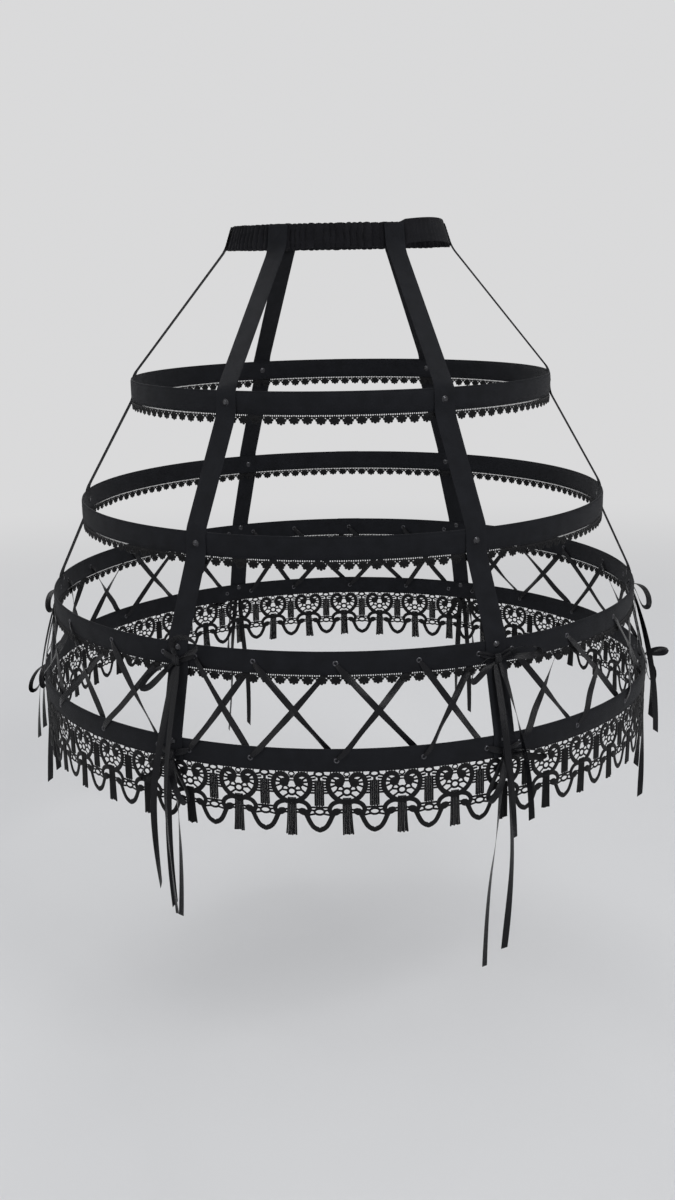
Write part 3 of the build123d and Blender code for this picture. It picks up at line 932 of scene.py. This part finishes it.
# Tails: loose ribbon ends hanging from each knot, as (aside, out, down) in millimetres.
TAIL_STARTS = ((-2.5, -1, 0), (2.5, 1, 0))
TAIL_ROUTES = {
    "upper_front_left": (
        ((-6, 35, 88), (-17, 35, 168), (-12, 31, 240)),
        ((5, 36, 90), (3, 37, 180), (9, 33, 268)),
    ),
    "upper_front_right": (((-5, 35, 90), (2, 36, 182)), ((19, 36, 86), (22, 36, 166))),
    "upper_side_left": (((-6, 35, 92), (-14, 36, 190)), ((6, 36, 94), (9, 38, 196))),
    "upper_side_right": (((-6, 35, 94), (-8, 37, 194)), ((6, 36, 90), (16, 35, 182))),
    "upper_back_left": (((-6, 35, 93), (-13, 36, 190)), ((5, 36, 90), (12, 37, 184))),
    "upper_back_right": (((-5, 35, 90), (-12, 37, 186)), ((6, 36, 94), (14, 35, 194))),
    "lower_front_left": (((-9, 4, 82), (-3, 2, 168)), ((12, 2, 84), (8, 7, 176))),
    "lower_front_right": (
        ((-10, 4, 76), (-22, 2, 156), (-26, 5, 234)),
        ((8, 3, 72), (6, 6, 148), (0, 3, 220)),
    ),
    "lower_side_left": (((-10, 4, 74), (-8, 2, 150)), ((12, 3, 76), (28, 5, 152))),
    "lower_side_right": (((-13, 3, 88), (-13, 1, 184)), ((10, 4, 78), (24, 2, 156))),
    "lower_back_left": (
        ((-8, 4, 70), (-15, 2, 142), (-13, 5, 212)),
        ((11, 5, 70), (12, 6, 145), (22, 3, 216)),
    ),
    "lower_back_right": (((-12, 3, 90), (-14, 0, 188)), ((12, 5, 86), (11, 4, 180))),
}
TAIL_TOP = 11.4 * MM
TAIL_STEPS = 56


def tail_controls(name, number):
    """Control points of a tail in metres."""
    level, strap_name = name.split("_", 1)
    hoop = LACED_HOOPS[0] if level == "upper" else LACED_HOOPS[1]
    turn = math.radians(STRAP_TURNS[strap_name])
    places = (TAIL_STARTS[number], *TAIL_ROUTES[name][number])
    reach, top = RADIUS[hoop] + KNOT_LIFT, HEIGHT[hoop] - TAIL_TOP
    points = [spot(turn, reach + out * MM, aside * MM, top - down * MM) for aside, out, down in places]
    return turn, points


def cord_line(controls):
    """Points of the smooth curve that the control points draw."""
    curve = bpy.data.curves.new("tail_line", "CURVE")
    curve.dimensions = "3D"
    curve.resolution_u = 24
    spline = curve.splines.new("NURBS")
    spline.points.add(len(controls) - 1)
    for point, place in zip(spline.points, controls):
        point.co = (*place, 1.0)
    spline.order_u = 3
    spline.use_endpoint_u = True
    holder = bpy.data.objects.new("tail_line", curve)
    mesh = bpy.data.meshes.new_from_object(holder)
    points = np.array([vertex.co[:] for vertex in mesh.vertices])
    bpy.data.objects.remove(holder)
    bpy.data.curves.remove(curve)
    bpy.data.meshes.remove(mesh)
    return points


def build_tail(name, number):
    """One hanging ribbon end, slightly twisted, cut on a slant."""
    turn, controls = tail_controls(name, number)
    line = cord_line(controls)
    line = even(line, TAIL_STEPS)
    share = np.linspace(0, 1, len(line))
    sway = chance.uniform(-50, 50)
    twist = chance.uniform(45, 130) * chance.choice((-1, 1))
    rolls = np.radians(sway * np.sin(math.pi * share) + twist * share**1.5)
    widths = 0.55 + 0.45 * np.clip(share / 0.06, 0, 1)
    shape = Shape()
    slant = chance.choice((-0.7, 0.7))
    curl = chance.uniform(-0.5, 0.5) * MM
    ribbon(shape, line, outward(turn), rolls, widths, curl, slant)
    label = f"{name}_{number + 1}"
    made = piece(f"ribbon_tail_{label}", shape, SATIN, [f"tail_{label}"])


for tail_name in TAIL_ROUTES:
    for tail_number in range(2):
        build_tail(tail_name, tail_number)


# Lace: drawn flat as (aside, down) in millimetres, then wrapped round a hoop.
def stroke(shape, points, width, thickness=1.3, count=12, sides=6, closed=False):
    """A worked thread along a line in the flat."""
    given = [(x, y, 0.0) for x, y in points]
    line = np.array(given) * MM if closed else through(given, count) * MM
    if closed:
        tangents = unit(np.roll(line, -1, axis=0) - np.roll(line, 1, axis=0))
    else:
        tangents = unit(np.gradient(line, axis=0))
    section = oval_section(width * MM, thickness * MM, sides)
    sweep(shape, section, line, np.cross(tangents, UP), UP[None], wrap=closed)


def ring(shape, centre, radii, width, thickness=1.2, count=14, sides=6):
    """A round or oval thread ring in the flat."""
    turns = np.arange(count) * 2 * math.pi / count
    points = [(centre[0] + radii[0] * math.cos(t), centre[1] + radii[1] * math.sin(t)) for t in turns]
    stroke(shape, points, width, thickness, sides=sides, closed=True)


FULL_PAD = ((0.55, -1.0), (0.9, -0.6), (1.0, 0.0), (0.9, 0.6), (0.55, 1.0))
SMALL_PAD = ((0.62, -1.0), (1.0, 0.0), (0.62, 1.0))
THREAD_SHARE = 0.978


def button(shape, centre, radii, thickness=1.5, lean=0.0, count=12, pad=FULL_PAD):
    """A padded worked spot in the flat."""
    turns = np.arange(count) * 2 * math.pi / count
    rows = []
    for share, lift in pad:
        x = radii[0] * share * np.cos(turns)
        y = radii[1] * share * np.sin(turns)
        aside = x * math.cos(lean) - y * math.sin(lean) + centre[0]
        down = x * math.sin(lean) + y * math.cos(lean) + centre[1]
        rows.append(np.stack([aside, down, np.full(count, lift * thickness / 2)], axis=1) * MM)
    around = np.arange(count + 1) * MM * 1.5
    index = shape.grid(np.stack(rows), np.arange(len(pad)) * MM, around, wrap_across=True)
    shape.cap(index[0, :-1])
    shape.cap(index[-1, :-1])


def fringe(shape, middle, top, bottom, widths, cords, sway=0.0, fray=0.0):
    """A hanging band of upright threads, with narrow slits between them."""
    downs = np.linspace(0, 1, 5)
    width = np.interp(downs, np.linspace(0, 1, len(widths)), widths)
    section = oval_section(THREAD_SHARE * widths[1] / cords * MM, 1.9 * MM, 6)
    for k in range(cords):
        x = middle + ((k + 0.5) / cords - 0.5) * width + sway * downs**2
        y = top + (bottom + chance.uniform(-fray, fray) - top) * downs
        line = np.stack([x, y, np.zeros_like(x)], axis=1) * MM
        sides = np.cross(unit(np.gradient(line, axis=0)), UP)
        sweep(shape, section, line, sides, UP[None], widths=width / widths[1])


HEART = [(4.8, 10.6), (4.4, 7.4), (6.6, 4.4), (10.6, 3.0), (14.9, 3.9), (18.2, 7.6), (19.3, 13.6)]
HEART += [(17.6, 20.2), (12.8, 26.4), (6.2, 30.6), (0.0, 32.2)]
BRACKET = [(1.5, 31.2), (8.0, 30.9), (13.6, 32.6), (17.3, 36.2), (18.0, 40.0), (15.6, 44.0)]
GARLAND = [(11.4, 39.6), (13.8, 43.2), (15.9, 47.0), (18.2, 52.0), (21.6, 57.2), (26.2, 60.4)]
HALF_PITCH = math.pi * (RADIUS[4] - 1 * MM) / MOTIFS / MM
BRIDES = [
    ((17.0, 5.4), (24.6, 3.4)), ((18.3, 7.6), (25.2, 6.8)),
    ((18.8, 10.4), (25.0, 10.4)), ((19.2, 13.4), (25.0, 13.4)), ((18.9, 16.4), (25.0, 16.4)),
    ((18.2, 19.2), (25.0, 19.2)), ((17.0, 22.0), (25.0, 22.0)),
    ((10.9, 9.0), (16.6, 5.6)), ((11.8, 11.4), (18.6, 10.6)), ((11.4, 13.8), (18.6, 16.6)),
    ((2.6, 17.8), (5.8, 14.6)), ((3.8, 20.0), (10.2, 19.2)), ((10.2, 19.2), (8.4, 15.0)),
    ((10.2, 19.2), (15.4, 23.2)), ((3.2, 23.0), (10.8, 28.0)),
    ((4.0, 39.4), (9.0, 40.0)), ((4.0, 42.4), (9.0, 42.6)),
    ((17.6, 37.2), (28.3, 37.0)), ((18.0, 39.6), (24.4, 40.8)), ((16.4, 45.4), (25.2, 43.6)),
]
HEADER_BARS = (-16.5, -13.5, -10.5, -7.5, 7.5, 10.5, 13.5, 16.5)
DRAWN_DROP = 66 * MM
# Each thread: its width and thickness in millimetres, then its steps and sides.
HEART_CORD = (5.3, 2.2, 30, 8)
BRACKET_CORD = (4.9, 2.0, 14, 8)
GARLAND_CORD = (5.1, 2.0, 14, 8)
LINK_CORD = (5.1, 2.0, 7, 8)
BRIDE_THREAD = (2.1, 1.0, 2, 4)
RUNG_THREAD = (1.7, 1.0, 2, 4)
BAR_THREAD = (1.4, 0.8, 2, 4)
TIE_THREAD = (1.5, 0.9, 2, 4)
SHELL_THREAD = (1.3, 0.7, 2, 4)
BAR_WIDTHS = (9.6, 10.2, 10.4)
TASSEL_TOP = 27.0
TASSEL_FOOT = 65.6
TASSEL_WIDTHS = (9.0, 10.2, 10.6, 12.0)
TASSEL_CORDS = 6
TASSEL_FRAY = 1.0
HEADER_SECTION = oval_section(1.5 * MM, 0.9 * MM, 6)
HEADER_STEPS = 360


def mirrored(points):
    """The same points on the other side of a motif."""
    return [(-x, y) for x, y in points]


def draw_motif(shape):
    """One heart of the deep lace with half of what joins it to its neighbours."""
    for flip in (list, mirrored):
        stroke(shape, flip(HEART), *HEART_CORD)
        stroke(shape, flip(BRACKET), *BRACKET_CORD)
        stroke(shape, flip(GARLAND), *GARLAND_CORD)
        button(shape, flip([(7.9, 11.7)])[0], (5.1, 4.7), 2.2)
        sign = 1 if flip is list else -1
        button(shape, flip([(11.6, 41.8)])[0], (5.6, 3.8), 2.1, sign * math.radians(20))
        for start, end in BRIDES:
            stroke(shape, flip([start, end]), *BRIDE_THREAD)
    ring(shape, (0.0, 20.7), (4.2, 3.6), 2.5)
    ring(shape, (0.0, 2.6), (2.9, 2.3), 1.6, 1.1, 10, 5)
    for height in (6.2, 9.2):
        stroke(shape, [(-5.0, height), (5.0, height)], *RUNG_THREAD)
    for x in HEADER_BARS:
        stroke(shape, [(x, -1.5), (x, 2.4)], *BAR_THREAD)


def draw_joint(shape):
    """The bar and rings between two hearts."""
    fringe(shape, HALF_PITCH, 9.2, 35.2, BAR_WIDTHS, 5)
    ring(shape, (HALF_PITCH, 2.4), (4.6, 2.9), 2.5)
    ring(shape, (HALF_PITCH, 41.6), (5.2, 3.1), 2.4)
    stroke(shape, [(HALF_PITCH, 5.4), (HALF_PITCH, 9.6)], 3.0, 1.3, 2)
    for shift in (-2.8, 0.0, 2.8):
        stroke(shape, [(HALF_PITCH + shift, 34.8), (HALF_PITCH + shift, 38.8)], *TIE_THREAD)
    link = [(HALF_PITCH - 3.6, 59.2), (HALF_PITCH, 61.0), (HALF_PITCH + 3.6, 59.2)]
    stroke(shape, link, *LINK_CORD)


def build_hem_lace():
    """The deep lace under the fourth hoop."""
    shape = Shape()
    reach, top = RADIUS[4] - 0.6 * MM, HEIGHT[4] - TAPE_WIDTH / 2
    stretch = np.array([1.0, (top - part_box("hem_lace")[0][2]) / DRAWN_DROP, 1.0])
    motif = Shape()
    draw_motif(motif)
    draw_joint(motif)
    for k in range(MOTIFS):
        turn = 2 * math.pi * k / MOTIFS + HEM_TURN
        shape.add(motif, wrap_points(motif.all_points() * stretch, reach, top, turn))
        tassel = Shape()
        sway = chance.uniform(-2.2, 2.2)
        foot = TASSEL_FOOT + chance.uniform(-1.2, 0.8)
        fringe(tassel, 0.0, TASSEL_TOP, foot, TASSEL_WIDTHS, TASSEL_CORDS, sway, TASSEL_FRAY)
        shape.add(tassel, wrap_points(tassel.all_points() * stretch, reach + 0.4 * MM, top, turn))
    sweep_hoop(shape, HEADER_SECTION, reach, top + 1.6 * MM, HEADER_STEPS)
    piece("lace_hem", shape, THREAD, ["hem_lace"])


def draw_picot(shape):
    """One shell of the narrow lace, about 14 mm wide, with a small lobe on each side."""
    for k in range(6):
        x = -6.0 + 2.4 * k
        stroke(shape, [(x, -1.2), (x, 2.0)], *SHELL_THREAD)
    button(shape, (0.0, 4.6), (4.6, 3.7), 1.2, 0.0, 12, SMALL_PAD)
    ring(shape, (0.0, 4.9), (2.3, 1.7), 1.1, 1.9, 10, 4)
    for turn in map(math.radians, (4, 47, 90, 133, 176)):
        lobe = (4.5 * math.cos(turn), 5.0 + 3.9 * math.sin(turn))
        button(shape, lobe, (1.8, 1.8), 1.3, 0.0, 7, SMALL_PAD)
    for sign in (-1, 1):
        button(shape, (sign * 6.6, 3.4), (1.35, 1.35), 1.2, 0.0, 7, SMALL_PAD)


def build_picot(hoop):
    """The narrow lace under one of the upper hoops."""
    shape = Shape()
    scallop = Shape()
    draw_picot(scallop)
    reach, top = RADIUS[hoop] - 0.2 * MM, HEIGHT[hoop] - TAPE_WIDTH / 2
    count = round(2 * math.pi * reach / PICOT_PITCH)
    for k in range(count):
        points = scallop.all_points().copy()
        points[:, 1] *= chance.uniform(0.94, 1.06)
        shape.add(scallop, wrap_points(points, reach, top, 2 * math.pi * k / count))
    sweep_hoop(shape, HEADER_SECTION, reach, top - 2.2 * MM, HEADER_STEPS)
    piece(f"lace_picot_{hoop}", shape, THREAD)


build_hem_lace()
for hoop in HOOPS[:3]:
    build_picot(hoop)


# Stage: a wide pale floor that fades into a pale sky, soft studio light, the photograph's camera.
FLOOR = -0.97
FLOOR_REACH = 60.0
FLOOR_SIDES = 96
FLOOR_COLOURS = ((0.69, 0.69, 0.70), (0.71, 0.71, 0.715))
FLOOR_ROUGH = (0.9, 0.8)
FLOOR_DEPTH = 0.1 * MM
FADE = (1.5, 4.0)
PALE = (0.70, 0.70, 0.705, 1.0)
AIR_COLOUR = (0.95, 0.97, 1.0, 1.0)
AIR_STRENGTH = 0.45
LIGHT_AIM = (0.0, 0.0, -0.4)
# Each light: name, place, size and power.
LIGHTS = (
    ("key", (1.9, -2.4, 1.9), 1.6, 62),
    ("fill", (-2.4, -1.8, 0.9), 2.0, 18),
    ("back", (-0.6, 1.9, 2.2), 1.6, 36),
)
SENSOR_WIDTH = 36.0
LENS = 38.75
CAMERA_PLACE = (0.0, -1.619, -0.0405)
# The camera's angles in degrees: down, to the left, rolled, and round the object's axis.
CAMERA_DIP = 14.26
CAMERA_YAW = 0.29
CAMERA_ROLL = -1.0
CAMERA_TURN = 1.5


def seen(tree):
    """1 for what the camera sees straight, in a mirror or through glass, else 0."""
    rays = node(tree, "ShaderNodeLightPath").outputs
    mirrored_too = joined(tree, "MAXIMUM", rays["Is Camera Ray"], rays["Is Glossy Ray"])
    return joined(tree, "MAXIMUM", mirrored_too, rays["Is Transmission Ray"])


def chosen(tree, share, first, second, target):
    """The first shader where the share is 0, the second where it is 1."""
    choice = node(tree, "ShaderNodeMixShader")
    tree.links.new(share, choice.inputs[0])
    tree.links.new(first, choice.inputs[1])
    tree.links.new(second, choice.inputs[2])
    tree.links.new(choice.outputs["Shader"], target)


def pale_paint():
    """Matt pale paint for the floor, which takes the sky's colour far from the object."""
    material, tree = new_material("pale_paint")
    clouds = patches(tree, 3.0)
    grain = patches(tree, 200.0)
    surface = finish(tree, clouds, FLOOR_COLOURS, FLOOR_ROUGH, grain, FLOOR_DEPTH)
    reach = node(tree, "ShaderNodeVectorMath", operation="LENGTH")
    tree.links.new(node(tree, "ShaderNodeTexCoord").outputs["Object"], reach.inputs[0])
    fade = node(tree, "ShaderNodeMapRange", interpolation_type="SMOOTHSTEP")
    fill(fade, From_Min=FADE[0], From_Max=FADE[1])
    tree.links.new(reach.outputs["Value"], fade.inputs["Value"])
    far = node(tree, "ShaderNodeEmission")
    fill(far, Color=PALE)
    share = joined(tree, "MULTIPLY", fade.outputs["Result"], seen(tree))
    target = tree.nodes["Material Output"].inputs["Surface"]
    chosen(tree, share, surface.outputs["BSDF"], far.outputs["Emission"], target)
    return material


def build_floor():
    """A wide round floor."""
    turns = np.arange(FLOOR_SIDES) * 2 * math.pi / FLOOR_SIDES
    points = outward(turns) * FLOOR_REACH + UP * FLOOR
    mesh = bpy.data.meshes.new("floor")
    mesh.from_pydata(points.tolist(), [], [list(range(FLOOR_SIDES))])
    mesh.materials.append(pale_paint())
    floor = shown("floor", mesh)


def add_light(name, place, size, power):
    """A soft square light that looks at the object."""
    data = bpy.data.lights.new(name, "AREA")
    data.size = size
    data.energy = power
    lamp = shown(name, data)
    lamp.location = place
    way = np.array(LIGHT_AIM) - np.array(place)
    heading = math.atan2(way[1], way[0]) - math.pi / 2
    lamp.rotation_euler = (math.pi / 2 + math.atan2(way[2], math.hypot(way[0], way[1])), 0.0, heading)


def add_world():
    """Even soft light from all round, seen as a plain pale sky."""
    world = bpy.data.worlds.new("studio_air")
    world.use_nodes = True
    tree = world.node_tree
    light = tree.nodes["Background"]
    fill(light, Color=AIR_COLOUR, Strength=AIR_STRENGTH)
    sky = node(tree, "ShaderNodeBackground")
    fill(sky, Color=PALE)
    target = tree.nodes["World Output"].inputs["Surface"]
    chosen(tree, seen(tree), light.outputs["Background"], sky.outputs["Background"], target)
    bpy.context.scene.world = world


def add_camera():
    """Camera fitted to the outlines of the four hoops."""
    data = bpy.data.cameras.new("camera")
    data.sensor_width = SENSOR_WIDTH
    data.lens = LENS
    camera = shown("camera", data)
    look = Euler((math.radians(90 - CAMERA_DIP), 0.0, math.radians(CAMERA_YAW))).to_matrix()
    roll = Matrix.Rotation(math.radians(CAMERA_ROLL), 3, "Z")
    round_axis = Matrix.Rotation(math.radians(CAMERA_TURN), 4, "Z")
    camera.matrix_world = round_axis @ Matrix.Translation(CAMERA_PLACE) @ (look @ roll).to_4x4()
    bpy.context.scene.camera = camera


build_floor()
for light_look in LIGHTS:
    add_light(*light_look)
add_world()
add_camera()
bpy.context.scene.view_settings.view_transform = "Standard"
